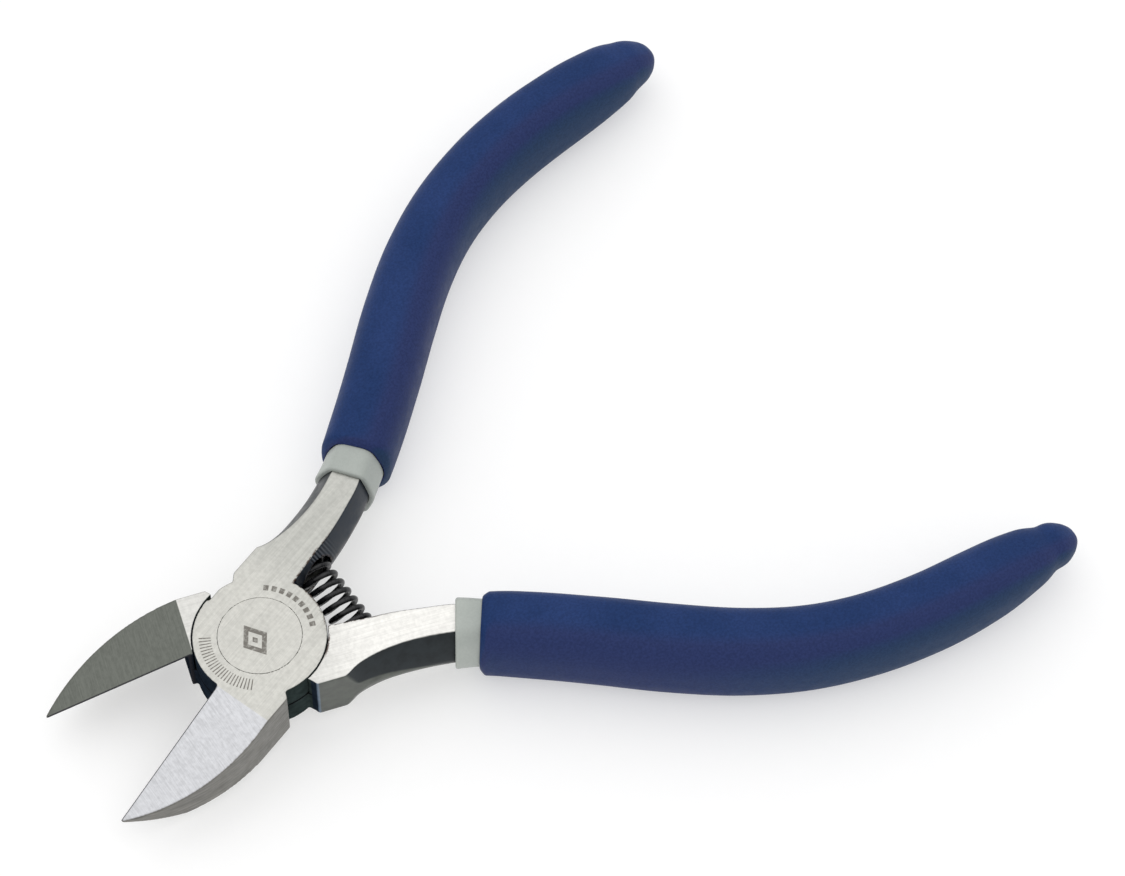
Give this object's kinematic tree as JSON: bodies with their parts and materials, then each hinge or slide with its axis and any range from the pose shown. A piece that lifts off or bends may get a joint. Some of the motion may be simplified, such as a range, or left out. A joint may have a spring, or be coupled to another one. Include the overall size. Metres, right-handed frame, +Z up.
{
  "type": "diagonal cutting pliers",
  "caption": "Small diagonal cutting pliers with a round lap joint, a coil return spring and two-coat dipped plastic grips, standing open.",
  "frame": {"origin": "on the pivot axis, at the underside of the lap joint", "axes": "+X from the pivot towards the handles along the line that halves the angle between them, +Z up along the pivot axis through the joint, +Y towards the handle of the half whose disc is on top"},
  "size_m": [0.1204, 0.0983, 0.0128],
  "materials": {
    "forged_steel": "ground flats with a fine brushed grain, dark forged sides",
    "rivet_steel": "ground flush with the joint",
    "black_spring": "oil-blackened spring wire",
    "grey_vinyl": "satin dipped vinyl",
    "blue_vinyl": "satin dipped vinyl"
  },
  "bodies": {
    "lower": {"lower_half": "forged_steel", "pivot_rivet": "rivet_steel", "return_spring": "black_spring", "lower_grip_liner": "grey_vinyl", "lower_grip_sleeve": "blue_vinyl"},
    "upper": {"upper_half": "forged_steel", "upper_grip_liner": "grey_vinyl", "upper_grip_sleeve": "blue_vinyl"}
  },
  "joints": [
    {"name": "pivot", "type": "hinge", "parent": "lower", "child": "upper", "pos_m": [0, 0, 0.0041], "axis": [0, 0, -1], "range_deg": [-18, 35.2], "stiffness_Nm_per_rad": 1, "deforming": ["return_spring"]}
  ]
}
